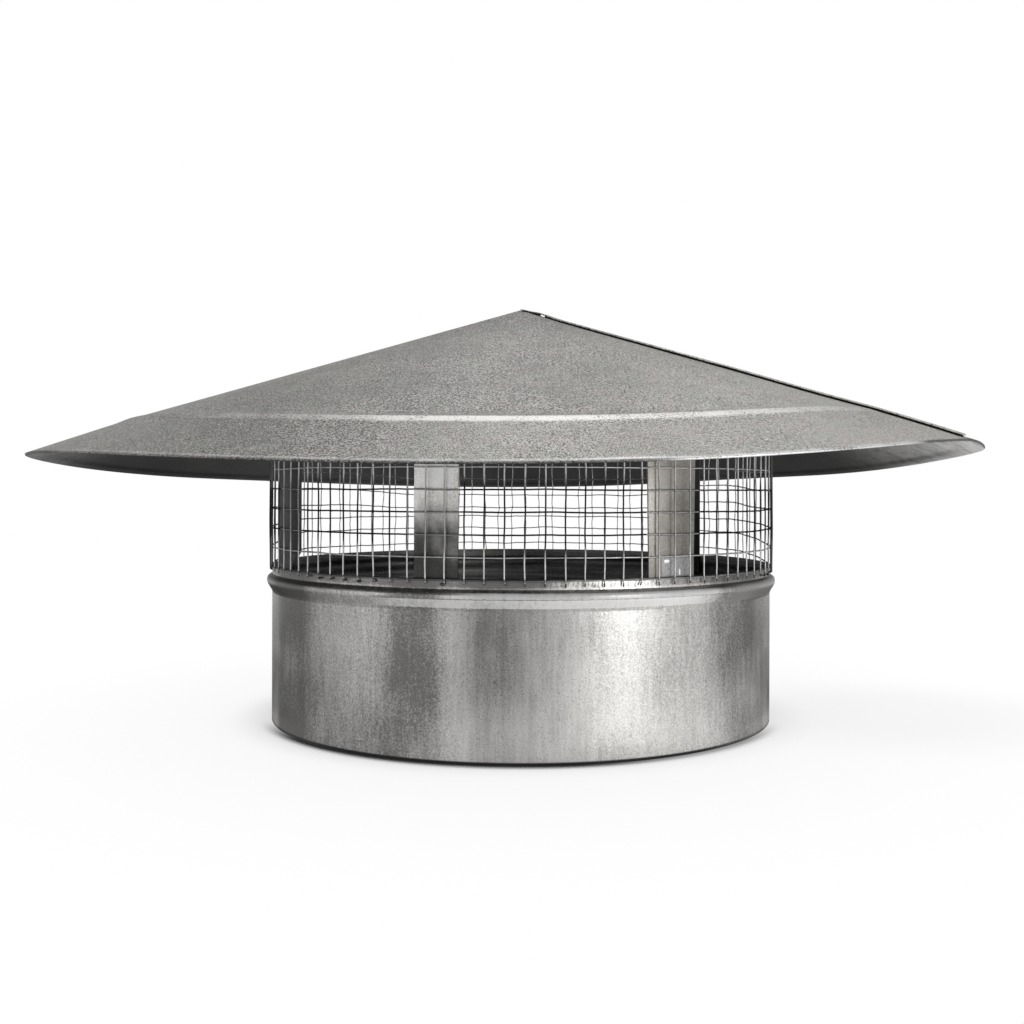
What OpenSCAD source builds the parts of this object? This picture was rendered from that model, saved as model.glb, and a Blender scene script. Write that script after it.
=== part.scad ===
// Vent cap with a wide conical hat on five straps, a duct collar below and a wire bird screen between.
// Millimetres, +Z up, origin on the collar's axis at its bottom edge, front towards -Y.
// Every angle is counted from the front, positive towards +X.

/* [Collar] */
// Outside diameter of the collar, the size of the duct that slides over it
collar_d = 450; // [300:10:600]
// Height of the collar from its bottom edge to its top edge
collar_h = 137; // [90:1:220]
// Thickness of the collar's sheet
collar_sheet = 0.8; // [0.5:0.1:1.2]
// Height of the rolled bead along the wall
bead_h = 17; // [10:0.5:24]
// How far the bead stands out from the wall
bead_out = 4.5; // [2:0.1:7]
// Plain lip between the bead and the top edge
lip_h = 7; // [5:0.5:20]

/* [Hat] */
// Diameter of the hat's rim
hat_d = 821; // [660:1:1000]
// Thickness of the hat's sheet
hat_sheet = 0.75; // [0.5:0.05:1.2]
// Mean height of the rim above the collar's top edge
rim_gap = 85; // [70:1:140]
// Slope of the cone inside the swaged ridge, in degrees
cone_slope = 19.3; // [15:0.1:26]
// Slope of the brim outside the swaged ridge, in degrees
brim_slope = 21.7; // [16:0.1:30]
// Distance of the swaged ridge from the rim, along the radius
brim_w = 73; // [40:1:100]
// Width of the swaged ridge
ridge_w = 22; // [12:1:30]
// Height of the swaged ridge above the cone
ridge_rise = 1.3; // [0.6:0.1:3]
// Width of the hem folded under the rim
hem_w = 8; // [4:0.5:14]

/* [Hat's lie] */
// How far the rim's centre lies from the apex, towards -X
rim_shift = 13; // [0:1:25]
// How far the rim stands up at +X and hangs at -X
side_rise = 4.5; // [0:0.5:10]
// How far the rim stands up at the front and hangs at the back
front_rise = 9.5; // [0:0.5:14]
// How far the front and the back of the rim sag, with the sides standing up as far
rim_sag = 8.5; // [0:0.5:14]
// Height of the three waves left in the rim by rolling
rim_ripple = 3.5; // [0:0.5:6]
// How far the stiff seam holds the rim up in front of it
seam_hold = 4.8; // [0:0.1:8]
// How far the rim is bent up at the back left
back_left_rise = 4.2; // [0:0.1:8]
// How far the rim is bent up at the back right
back_right_rise = 3.6; // [0:0.1:8]
// Angle of the rise at the back left
back_left_angle = -138; // [-170:1:-110]
// Angle of the rise at the back right
back_right_angle = 141; // [110:1:170]

/* [Hat's seam] */
// Angle of the radial lock seam from the front
seam_angle = 55; // [20:1:100]
// Width of the folded seam
seam_w = 9; // [6:0.5:14]
// Height of the folded seam above the sheet
seam_rise = 2.4; // [1.6:0.1:4]
// Open slot under the seam's loose edge
seam_slot = 0.6; // [0.3:0.1:1]
// Distance from the seam's outer end to the rim
seam_end_gap = 4; // [3:0.5:20]

/* [Straps] */
// Width of each strap
strap_w = 35; // [20:1:50]
// How much wider the front right strap is at its foot
wide_foot = 8.5; // [0:0.5:12]
// How much wider the front right strap is at its bend
wide_head = 13; // [0:0.5:16]
// Thickness of each strap
strap_t = 1.5; // [1:0.1:3]
// Length of the strap's foot inside the collar
strap_foot = 19; // [10:1:20]
// Length of the tab that carries the hat, past its bend
strap_tab = 34; // [20:1:60]
// Outside radius of the strap's bend
strap_bend = 5; // [3:0.5:10]
// Angle of the back left strap
strap_1_angle = -154; // [-170:1:-130]
// Angle of the left strap
strap_2_angle = -62.5; // [-75:0.5:-45]
// Twist of the left strap above the collar, its front edge inwards
strap_2_twist_angle = 14; // [0:1:20]
// Angle of the front left strap
strap_3_angle = -16.5; // [-30:0.5:-5]
// Angle of the front right strap
strap_4_angle = 31; // [15:1:50]
// Angle of the back right strap
strap_5_angle = 129; // [100:0.5:150]

/* [Screen] */
// Diameter of the screen's wire
wire_d = 1.1; // [0.8:0.1:1.6]
// Spacing of the upright wires around the screen
upright_pitch = 15; // [10:0.5:25]
// Angle of the first upright wire right of the front
upright_phase = 0.7; // [0:0.1:3]
// Depth of the lowest hoop below the collar's top edge
hoop_drop = 1; // [0.8:0.1:3]
// Length of the uprights above the highest hoop
upright_tail = 5; // [2:0.5:8]

/* [Clearances] */
// Gap between a strap's edge and the collar's inner wall
wall_gap = 0.1; // [0.05:0.05:0.3]
// Gap between a strap's tab and the hat's underside
seat_gap = 0.18; // [0.06:0.02:0.3]
// Gap between the lowest hoop and the collar's lip
hoop_gap = 0.3; // [0.1:0.05:0.5]
// Gap between the uprights and the hoops at each weld
weld_gap = 0.02; // [0.01:0.01:0.05]
// Gap between the uprights' lower ends and the bead
bead_gap = 1.2; // [0.5:0.1:3]
// Gap between the uprights' upper ends and the lowest part of the hat above them
screen_gap = 5.5; // [2:0.5:12]

/* [Hidden] */

// Collar
collar_r = collar_d / 2;
collar_in_r = collar_r - collar_sheet;
bead_top_z = collar_h - lip_h;
bead_mid_z = bead_top_z - bead_h / 2;
bead_steps = 14;

// Hat
hat_r = hat_d / 2;
ridge_r = hat_r - brim_w;
cone_fall = tan(cone_slope);
brim_fall = tan(brim_slope);
rim_z = collar_h + rim_gap;
apex_z = rim_z + cone_fall * ridge_r + brim_fall * brim_w;
hat_drop = hat_sheet / cos(cone_slope);
hem_drop = 2 * hat_sheet / cos(brim_slope);
hem_nose = hat_sheet / 2;
hat_facets = 96;
ridge_fade = 14;
front_of_seam_power = 9;
past_seam_power = 68;
back_left_power = 10;
back_right_power = 19;

// Straps
strap_foot_z = collar_h - strap_foot;
strap_free_z = collar_h + 1;
strap_leg_z = collar_h + 14;
bend_steps = 5;

// Each strap's angle, twist above the collar, width at the foot and width at the bend
strap_forms = [
    [strap_1_angle, 0, strap_w, strap_w],
    [strap_2_angle, strap_2_twist_angle, strap_w, strap_w],
    [strap_3_angle, 0, strap_w, strap_w],
    [strap_4_angle, 0, strap_w + wide_foot, strap_w + wide_head],
    [strap_5_angle, 0, strap_w, strap_w]];

// Screen
wire_r = wire_d / 2;
hoop_n = 9;
hoop_r = collar_r + hoop_gap + wire_r;
upright_r = hoop_r + wire_d + weld_gap;
upright_n = round(2 * PI * upright_r / upright_pitch);
upright_step = 360 / upright_n;
low_hoop_z = collar_h - hoop_drop;
upright_low_z = bead_top_z + bead_gap;
upright_high_z = min([for (q = [0:5:355]) hat_under(upright_r + wire_r, q)]) - screen_gap;
hoop_pitch = (upright_high_z - upright_tail - low_hoop_z) / (hoop_n - 1);

// Unit vector at angle q from the front, and the level direction across it
function outward(q) = [sin(q), -cos(q)];
function across(q) = [cos(q), sin(q)];

// Radius of the rim in direction q, a circle whose centre is shifted from the apex
function rim_reach(q) = -rim_shift * sin(q) + sqrt(pow(hat_r, 2) - pow(rim_shift * cos(q), 2));

// How far the rim in direction q stands above its mean height
function rim_wave(q) = side_rise * sin(q) + front_rise * cos(q)
    - rim_sag * cos(2 * q) - rim_ripple * cos(3 * q)
    + seam_hold * swell(q, seam_angle, sin(q - seam_angle) > 0 ? past_seam_power : front_of_seam_power)
    + back_left_rise * swell(q, back_left_angle, back_left_power)
    + back_right_rise * swell(q, back_right_angle, back_right_power);

// Share of a local rise at angle q: 1 at its peak, with a higher power for a narrower rise
function swell(q, peak, power) = pow(max(0, cos(q - peak)), power);

// Smooth rise of the swaged ridge at distance r along the mean radius, fading out at the seam
function ridge_lift(r, q) = abs(r - ridge_r) >= ridge_w / 2 ? 0
    : ridge_rise * pow(cos(180 * (r - ridge_r) / ridge_w), 2) * ridge_share(q);
function ridge_share(q) = min(1, angle_between(q, seam_angle) / ridge_fade);
function angle_between(a, b) = acos(min(1, cos(a - b)));

// Height of the hat's upper surface at mean radius r in direction q
function hat_top(r, q) = apex_z - cone_fall * min(r, ridge_r) - brim_fall * max(0, r - ridge_r)
    + r / hat_r * rim_wave(q) + ridge_lift(r, q);

// Height of the hat's underside over the point at true distance d from the axis in direction q
function hat_under(d, q) = hat_top(d / rim_reach(q) * hat_r, q) - hat_drop;

// Underside height over a level point
function hat_under_at(p) = hat_under(norm(p), atan2(p[0], -p[1]));

// Section of the hat's sheet from the inside of the cone out round the hem and back:
// each entry is a mean radius and a height against the upper surface
ridge_radii = [for (i = [-2:2]) ridge_r + i * ridge_w / 4];
hat_section = concat(
    [for (r = ridge_radii) [r, 0]],
    [[hat_r, 0], [hat_r + hem_nose, -hem_drop / 2], [hat_r, -hem_drop]],
    [[hat_r - hem_w, -hem_drop], [hat_r - hem_w, -hat_drop]],
    [for (i = [4:-1:0]) [ridge_radii[i], -hat_drop]]);

function hat_point(s, q) = let (d = s[0] / hat_r * rim_reach(q), o = outward(q))
    [d * o[0], d * o[1], hat_top(s[0], q) + s[1]];

// Outline of the collar's wall at height z: the outer radius and its slope
function bead_share(z) = abs(z - bead_mid_z) >= bead_h / 2 ? 0 : pow(cos(180 * (z - bead_mid_z) / bead_h), 2);
function bead_lean(z) = abs(z - bead_mid_z) >= bead_h / 2 ? 0
    : -bead_out * PI / bead_h * sin(360 * (z - bead_mid_z) / bead_h);
function wall_point(z, depth) = let (lean = bead_lean(z), n = sqrt(1 + lean * lean))
    [collar_r + bead_out * bead_share(z) - depth / n, z + depth * lean / n];

// Distance from the axis to the middle of a strap's outer face, where its edges meet the collar
function strap_reach(f) = sqrt(pow(collar_in_r - wall_gap, 2) - pow(f[2] / 2, 2));

// Middle of a strap at distance x from the axis, with so much of its twist: twisted, it leans
// inwards until its outer edge stays where it was
function strap_mid(f, x, twisted) = let (lean = f[3] / 2 * sin(f[1]))
    (strap_reach(f) - twisted * lean) * outward(f[0]) + (x - strap_reach(f)) * outward(f[0] + twisted * f[1]);

// Stations of a strap: distance from the axis and height of its outer face, the direction across
// its thickness, how much of the hat's side slope it takes up, its share of twist and its width
function strap_stations(f) =
    let (r = strap_reach(f),
         run = 10,
         fall = (hat_under_at(strap_mid(f, r - run, 1)) - hat_under_at(strap_mid(f, r, 1))) / run,
         tilt = atan(fall),
         bend_x = r - strap_bend,
         bend_z = hat_under_at(strap_mid(f, bend_x, 1)) - strap_seat(f) - strap_bend / cos(tilt),
         turn = 90 - tilt)
    concat(
        [[r, strap_foot_z, 0, 0, 0, f[2]], [r, strap_free_z, 0, 0, 0, f[2]], [r, strap_leg_z, 0, 0, 1, f[2]]],
        [for (i = [0:bend_steps]) let (a = turn * i / bend_steps)
            [bend_x + strap_bend * cos(a), bend_z + strap_bend * sin(a), a, i / bend_steps, 1, f[3]]],
        [[bend_x + strap_bend * cos(turn) - strap_tab * cos(tilt),
          bend_z + strap_bend * sin(turn) + strap_tab * sin(tilt), turn, 1, 1, f[3]]]);

// Drop of the tab's middle line under the sheet, so that its edges clear the curved underside
function strap_seat(f) = let (r = strap_reach(f), half = f[3] / 2 * across(f[0] + f[1]))
    seat_gap + max([for (x = [r - strap_bend - strap_tab, r - strap_bend]) let (mid = strap_mid(f, x, 1))
        hat_under_at(mid) - (hat_under_at(mid + half) + hat_under_at(mid - half)) / 2]);

// Corner of a strap's station: side is -1 or 1, depth is measured inwards from the outer face
function strap_corner(f, s, side, depth) =
    let (mid = strap_mid(f, s[0] - depth * cos(s[2]), s[4]),
         half = side * s[5] / 2 * across(f[0] + s[4] * f[1]),
         roll = (hat_under_at(mid + half) - hat_under_at(mid - half)) / 2)
    [mid[0] + half[0], mid[1] + half[1], s[1] - depth * sin(s[2]) + s[3] * roll];

// Rolled collar with its bead and plain lip
module collar() {
    levels = concat([0], [for (i = [0:bead_steps]) bead_mid_z + bead_h * (i / bead_steps - 0.5)], [collar_h]);
    last = len(levels) - 1;
    color("silver")
        rotate_extrude($fn = 180)
            polygon(concat(
                [for (z = levels) wall_point(z, 0)],
                [for (i = [last:-1:0]) wall_point(levels[i], collar_sheet)]));
}

// Rolled cone with a swaged ridge, a hem and a radial lock seam
module hat() {
    color("darkgray")
        union() {
            hat_sheet_shell();
            seam_run(seam_w, ridge_r);
            seam_run(ridge_r, hat_r - seam_end_gap);
        }
}

// The hat's sheet as one closed skin: columns of section points round the axis
module hat_sheet_shell() {
    n = len(hat_section);
    angles = [for (j = [0:hat_facets - 1]) seam_angle + 360 * (j + 0.5) / hat_facets];
    points = concat(
        [for (q = angles, s = hat_section) hat_point(s, q)],
        [[0, 0, apex_z], [0, 0, apex_z - hat_drop]]);
    top = n * hat_facets;
    polyhedron(points = points, faces = concat(
        [for (j = [0:hat_facets - 1], i = [0:n - 2]) let (a = j * n + i, b = (j + 1) % hat_facets * n + i)
            each [[a, b + 1, a + 1], [a, b, b + 1]]],
        [for (j = [0:hat_facets - 1]) [top, (j + 1) % hat_facets * n, j * n]],
        [for (j = [0:hat_facets - 1]) [top + 1, j * n + n - 1, (j + 1) % hat_facets * n + n - 1]]));
}

// A straight run of the folded seam between two mean radii
module seam_run(r_from, r_to) {
    embed = hat_sheet / 2;
    start = hat_point([r_from, 0], seam_angle);
    end = hat_point([r_to, 0], seam_angle);
    level = norm([end[0] - start[0], end[1] - start[1]]);
    translate(start)
        rotate([0, 0, seam_angle - 90])
            rotate([0, atan2(start[2] - end[2], level), 0])
                rotate([90, 0, 90])
                    linear_extrude(norm(end - start))
                        polygon([
                            [-seam_w / 2 + seam_w / 3, -embed], [-seam_w / 2 + seam_w / 3, seam_slot],
                            [-seam_w / 2, seam_slot], [-seam_w / 2, seam_rise],
                            [seam_w / 2, seam_rise], [seam_w / 2, -embed]]);
}

// Flat strap: foot inside the collar, leg, bend, and a tab that follows the hat's underside
module strap(k) {
    form = strap_forms[k - 1];
    stations = strap_stations(form);
    n = len(stations);
    points = [for (s = stations) each [
        strap_corner(form, s, -1, 0), strap_corner(form, s, 1, 0),
        strap_corner(form, s, 1, strap_t), strap_corner(form, s, -1, strap_t)]];
    last = 4 * (n - 1);
    color("lightgray")
        polyhedron(points = points, faces = concat(
            [for (i = [0:n - 2], e = [0:3]) let (a = 4 * i + e, b = 4 * i + (e + 1) % 4)
                each [[a, a + 4, b + 4], [a, b + 4, b]]],
            [[0, 1, 2], [0, 2, 3]],
            [[last, last + 2, last + 1], [last, last + 3, last + 2]]));
}

// Level hoop of round wire, counted from the collar up
module hoop(k) {
    color("gray")
        translate([0, 0, low_hoop_z + (k - 1) * hoop_pitch])
            rotate_extrude($fn = 180)
                translate([hoop_r, 0])
                    circle(r = wire_r, $fn = 24);
}

// Upright wires between strap k and the next one
module uprights(k) {
    from = strap_forms[k - 1][0];
    to = k < len(strap_forms) ? strap_forms[k][0] : strap_forms[0][0] + 360;
    color("gray")
        for (i = [-upright_n:upright_n]) {
            q = upright_phase + i * upright_step;
            if (q >= from && q < to)
                rotate([0, 0, q])
                    translate([0, -upright_r, upright_low_z])
                        cylinder(h = upright_high_z - upright_low_z, r = wire_r, $fn = 24);
        }
}

collar();
hat();
strap(1);  // strap_1
strap(2);  // strap_2
strap(3);  // strap_3
strap(4);  // strap_4
strap(5);  // strap_5
hoop(1);  // hoop_1
hoop(2);  // hoop_2
hoop(3);  // hoop_3
hoop(4);  // hoop_4
hoop(5);  // hoop_5
hoop(6);  // hoop_6
hoop(7);  // hoop_7
hoop(8);  // hoop_8
hoop(9);  // hoop_9
uprights(1);  // uprights_1
uprights(2);  // uprights_2
uprights(3);  // uprights_3
uprights(4);  // uprights_4
uprights(5);  // uprights_5
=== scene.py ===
import math
import bpy
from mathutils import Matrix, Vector, noise


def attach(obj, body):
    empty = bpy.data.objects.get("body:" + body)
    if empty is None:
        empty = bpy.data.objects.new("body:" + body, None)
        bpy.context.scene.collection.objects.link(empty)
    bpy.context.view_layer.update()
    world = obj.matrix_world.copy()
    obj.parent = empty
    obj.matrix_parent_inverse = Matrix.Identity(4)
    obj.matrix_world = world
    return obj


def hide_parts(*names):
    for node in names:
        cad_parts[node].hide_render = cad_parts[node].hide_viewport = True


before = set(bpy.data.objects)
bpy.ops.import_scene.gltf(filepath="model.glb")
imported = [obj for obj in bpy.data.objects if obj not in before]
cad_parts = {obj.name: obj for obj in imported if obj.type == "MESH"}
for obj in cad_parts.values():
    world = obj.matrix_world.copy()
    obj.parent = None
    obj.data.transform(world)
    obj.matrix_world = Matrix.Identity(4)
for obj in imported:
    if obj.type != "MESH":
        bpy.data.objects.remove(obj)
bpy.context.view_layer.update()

# Lengths are in millimetres and become metres in the meshes. Angles are in degrees from the front,
# which faces -Y, and are positive towards +X.
MM = 0.001

# The collar. Its bead's crest lies a little higher than the solid's, and its flanks differ by so much.
COLLAR_R, COLLAR_H, COLLAR_SHEET = 225.0, 137.0, 0.8
BEAD_H, BEAD_OUT, LIP_H = 17.0, 4.5, 7.0
BEAD_LIFT, BEAD_LOW_FLANK, BEAD_HIGH_FLANK = 1.0, 1.0, -1.6

# The hat: cone, swaged ridge with the place where it is flattened, brim, hem and unevenness of the sheet
HAT_R, HAT_SHEET, RIM_GAP = 410.5, 0.75, 85.0
CONE_SLOPE, BRIM_SLOPE, BRIM_W = 19.3, 21.7, 73.0
RIDGE_W, RIDGE_RISE, RIDGE_FADE, HEM_W, HEM_LIP = 22.0, 1.3, 14.0, 8.0, 2.0
RIDGE_FLAT, RIDGE_FLAT_AT, RIDGE_FLAT_SPREAD = 0.6, -82.0, 35.0
SHEET_DENT, DENT_SPAN = 0.16, 80.0

# The rim's shift from the peak, its waves and its local rises
RIM_SHIFT, SIDE_RISE, FRONT_RISE, RIM_SAG, RIM_RIPPLE = 13.0, 4.5, 9.5, 8.5, 3.5
SEAM_HOLD, BACK_LEFT_RISE, BACK_RIGHT_RISE = 4.8, 4.2, 3.6
BACK_LEFT_AT, BACK_RIGHT_AT = -138.0, 141.0

# The lock seam, the open stretch of its web near the peak, and the sag of the sheet beside it
SEAM_AT, SEAM_W, SEAM_RISE, SEAM_SLOT, SEAM_END_GAP = 55.0, 9.0, 2.7, 1.3, 4.0
SEAM_OPEN_FROM, SEAM_OPEN_TO = 19.0, 27.0
SEAM_SAG, SEAM_SAG_OUTER, SEAM_SAG_AT, SEAM_SAG_SPREAD = 2.1, 0.9, 60.0, 20.0

# The straps
STRAP_AT = {"strap_1": -154.0, "strap_2": -62.5, "strap_3": -16.5, "strap_4": 31.0, "strap_5": 129.0}
STRAP_EASE = 0.35

# The screen: its wires, their gaps, their zinc, their wander, and how its back is out of shape
WIRE_R, HOOP_COUNT, HOOP_DROP, UPRIGHT_PHASE, UPRIGHT_COUNT = 0.63, 9, 1.0, 0.7, 95
SOLID_WIRE_R, HOOP_GAP, WELD_GAP, SCREEN_GAP, UPRIGHT_ABOVE, UPRIGHT_BELOW = 0.55, 0.3, 0.02, 5.5, 5.0, 1.4
WELD_DROP_R, CLOT_R, BIG_CLOT_R = 1.05, 1.4, 1.7
OUT_PLAY, SIDE_PLAY, UP_PLAY, FRONT_PLAY = 0.6, 1.6, 1.2, 0.35
BACK_CREEP, BACK_BUNCH, BACK_RIGHT_LIFT, BACK_FINER = 8.0, 6.0, 5.0, 0.2
HOOP_R = COLLAR_R + HOOP_GAP + SOLID_WIRE_R
UPRIGHT_R = HOOP_R + 2 * SOLID_WIRE_R + WELD_GAP

RIDGE_R = HAT_R - BRIM_W
CONE_FALL, BRIM_FALL = math.tan(math.radians(CONE_SLOPE)), math.tan(math.radians(BRIM_SLOPE))
APEX_Z = COLLAR_H + RIM_GAP + CONE_FALL * RIDGE_R + BRIM_FALL * BRIM_W
HAT_DROP = HAT_SHEET / math.cos(math.radians(CONE_SLOPE))
HEM_DROP = 2 * HAT_SHEET / math.cos(math.radians(BRIM_SLOPE))

# The photograph's camera: its size, focal length and image centre in pixels, its place in metres
PHOTO_PX, FOCAL_PX, CENTRE_X_PX, CENTRE_Y_PX = 1024, 1182.3, 521.26, 489.4
CAMERA_BACK, CAMERA_UP, CAMERA_ROLL, SENSOR_MM = 1.093, 0.2033, 0.003, 36.0

# Where the wires' lower ends carry a clot of zinc, and where their painted shade is weaker in front of a strap:
# directions in degrees
CLOTTED = ((-49, -27), (62, 75))
BIG_CLOT_AT, BIG_CLOT_REACH = -14.5, 1.9
WEAKER_WIRE_SHADE = ((0.6, STRAP_AT["strap_3"], 5.2), (0.6, STRAP_AT["strap_4"], 6.2), (0.5, -57.0, 5.5))

# Upright bands of painted reflection on the collar, dark and light, partly the marks that the rolls left: weight,
# direction, half width and soft edge
DARK_REFLECTION_BANDS = ((0.9, -57.5, 5, 6), (0.75, -21.5, 2, 5), (0.75, -4.5, 3, 6), (0.7, 51, 4, 9), (0.3, 180, 20, 40),
              (0.5, -110, 5, 12), (0.5, 105, 5, 12))
LIGHT_REFLECTION_BANDS = ((0.3, -38, 5, 8), (0.5, -12.5, 1.5, 4), (0.6, 19, 5, 9), (0.3, 34, 3, 6))

# Painted light and shade of each strap: its tone at its foot, at its top, and how warm they are
STRAP_LIGHT_AND_SHADE = {"strap_1": (0.5, 0.6, 0.01), "strap_2": (0.07, 0.13, 0.0), "strap_3": (0.09, 1.15, 0.02),
               "strap_4": (0.28, 0.47, 0.055), "strap_5": (0.08, 0.10, 0.0)}

# How bright the world is to every ray but the camera's
WORLD_GREY = 0.46

# Lamps: place, aim and size in metres, and power in watts
LAMPS = {"overhead": ((0.25, 0.75, 1.9), (0, 0, 0.25), (1.6, 0.6), 5),
         "right_key": ((1.5, -1.6, 0.45), (0, 0, 0.12), (0.45, 0.85), 10),
         "left_fill": ((-2.0, -1.0, 0.6), (0, 0, 0.15), (0.5, 1.1), 3),
         "front_fill": ((-0.9, -1.9, 0.5), (0, 0, 0.15), (0.25, 0.9), 1)}


# Directions and the lie of the hat

def outward(q):
    """Unit vector away from the axis in direction q."""
    a = math.radians(q)
    return Vector((math.sin(a), -math.cos(a), 0))


def across(q):
    """Unit vector along the circumference in direction q, towards larger angles."""
    a = math.radians(q)
    return Vector((math.cos(a), math.sin(a), 0))


def bearing(x, y):
    return math.degrees(math.atan2(x, -y))


def cosine(q):
    return math.cos(math.radians(q))


def sine(q):
    return math.sin(math.radians(q))


def angle_between(a, b):
    return abs((a - b + 180) % 360 - 180)


def step(value, low, high):
    """0 below low, 1 above high, with a smooth rise between them."""
    t = min(1.0, max(0.0, (value - low) / (high - low)))
    return t * t * (3 - 2 * t)


def swell(q, peak, power):
    """A rise round direction peak, narrower with a higher power."""
    return max(0.0, cosine(q - peak)) ** power


def rim_reach(q):
    """Radius of the rim in direction q: the rim's centre lies to one side of the peak."""
    return -RIM_SHIFT * sine(q) + math.sqrt(HAT_R ** 2 - (RIM_SHIFT * cosine(q)) ** 2)


def rim_wave(q):
    """How far the rim stands above its mean height in direction q."""
    wave = SIDE_RISE * sine(q) + FRONT_RISE * cosine(q) - RIM_SAG * cosine(2 * q) - RIM_RIPPLE * cosine(3 * q)
    wave += SEAM_HOLD * swell(q, SEAM_AT, 68 if sine(q - SEAM_AT) > 0 else 9)
    return wave + BACK_LEFT_RISE * swell(q, BACK_LEFT_AT, 10) + BACK_RIGHT_RISE * swell(q, BACK_RIGHT_AT, 19)


def ridge_lift(r, q):
    """Rise of the swaged ridge, which runs out at the seam and is flattened at the left."""
    if abs(r - RIDGE_R) >= RIDGE_W / 2:
        return 0.0
    share = min(1.0, angle_between(q, SEAM_AT) / RIDGE_FADE)
    share *= 1 - RIDGE_FLAT * math.exp(-((q - RIDGE_FLAT_AT) / RIDGE_FLAT_SPREAD) ** 2)
    return RIDGE_RISE * share * cosine(180 * (r - RIDGE_R) / RIDGE_W) ** 2


def sheet_fall(r):
    """How far the sheet lies below the peak at mean radius r."""
    return CONE_FALL * min(r, RIDGE_R) + BRIM_FALL * max(0.0, r - RIDGE_R)


def seam_sag(r, q):
    """How far the sheet hangs lower on both sides of the seam."""
    depth = SEAM_SAG * min(1.0, r / 45) * (1 - 0.45 * step(r, 330, 405))
    depth += SEAM_SAG_OUTER * math.exp(-((r - 295) / 60) ** 2)
    return depth * math.exp(-((q - SEAM_SAG_AT) / SEAM_SAG_SPREAD) ** 2)


def hat_top(r, q):
    """Height of the hat's upper face at mean radius r in direction q."""
    return APEX_Z - sheet_fall(r) + r / HAT_R * rim_wave(q) + ridge_lift(r, q) - seam_sag(r, q)


def hat_point(r, q, above):
    """Point at mean radius r in direction q, so far above the hat's upper face."""
    p = outward(q) * (r / HAT_R * rim_reach(q))
    p.z = hat_top(r, q) + above
    return p


def lie_of(x, y):
    """Mean radius and direction of a point of the hat."""
    q = bearing(x, y)
    return math.hypot(x, y) * HAT_R / rim_reach(q), q


# Modelling steps

def start_clean():
    if bpy.context.object and bpy.context.object.mode != "OBJECT":
        bpy.ops.object.mode_set(mode="OBJECT")
    bpy.ops.object.select_all(action="DESELECT")


def select_only(piece):
    start_clean()
    piece.select_set(True)
    bpy.context.view_layer.objects.active = piece


def named(piece, name):
    piece.name = piece.data.name = name
    return piece


def smooth(piece, limit=35):
    """Shades a piece smooth up to an angle between faces."""
    select_only(piece)
    bpy.ops.object.shade_smooth_by_angle(angle=math.radians(limit))
    return piece


def face_outwards():
    """Recalculates the normals of the mesh in edit mode and leaves edit mode."""
    bpy.ops.mesh.select_all(action="SELECT")
    bpy.ops.mesh.normals_make_consistent(inside=False)
    bpy.ops.object.mode_set(mode="OBJECT")


def lathe(name, outline, turns):
    """Spins a closed outline of (radius, height) points round the axis into one closed skin."""
    start_clean()
    bpy.ops.mesh.primitive_circle_add(vertices=len(outline), radius=1)
    piece = named(bpy.context.object, name)
    for vertex, (r, z) in zip(piece.data.vertices, outline):
        vertex.co = (r * MM, 0, z * MM)
    bpy.ops.object.mode_set(mode="EDIT")
    bpy.ops.mesh.select_all(action="SELECT")
    bpy.ops.mesh.spin(steps=turns, angle=math.tau, center=(0, 0, 0), axis=(0, 0, 1))
    bpy.ops.mesh.select_all(action="SELECT")
    bpy.ops.mesh.remove_doubles(threshold=1e-6)
    bpy.ops.mesh.delete_loose()
    face_outwards()
    return piece


def bar(name, section, stations):
    """Extrudes a closed section into a bar with a ring at each station, one unit apart along Z."""
    start_clean()
    bpy.ops.mesh.primitive_circle_add(vertices=len(section), radius=1, fill_type="NGON")
    piece = named(bpy.context.object, name)
    for vertex, (u, v) in zip(piece.data.vertices, section):
        vertex.co = (u, v, 0)
    bpy.ops.object.mode_set(mode="EDIT")
    bpy.ops.mesh.select_all(action="SELECT")
    for _ in range(stations - 1):
        bpy.ops.mesh.extrude_region_move(TRANSFORM_OT_translate={"value": (0, 0, 1)})
    face_outwards()
    return piece


def shift(piece, place):
    """Moves each vertex to place(vertex's position), given in millimetres."""
    for vertex in piece.data.vertices:
        vertex.co = Vector(place(vertex.co)) * MM
    return piece


def bend(piece, place):
    """Moves each vertex and makes all faces look outwards again."""
    select_only(shift(piece, place))
    bpy.ops.object.mode_set(mode="EDIT")
    face_outwards()
    return piece


def copy_of(piece, name):
    """A copy with a mesh of its own."""
    made = piece.copy()
    made.data = piece.data.copy()
    bpy.context.collection.objects.link(made)
    return named(made, name)


def joined(pieces, name):
    """Makes one piece of several."""
    start_clean()
    for piece in pieces:
        piece.select_set(True)
    bpy.context.view_layer.objects.active = pieces[0]
    bpy.ops.object.join()
    return named(bpy.context.object, name)


def mark(piece, name, share):
    """Stores a share between 0 and 1 at each vertex: of its mean radius, direction and depth in the sheet."""
    store = piece.data.attributes.new(name, "FLOAT", "POINT")
    for vertex, item in zip(piece.data.vertices, store.data):
        r, q = lie_of(vertex.co.x / MM, vertex.co.y / MM)
        item.value = share(r, q, hat_top(min(r, HAT_R), q) - vertex.co.z / MM)
    return piece


# The pieces

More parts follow.
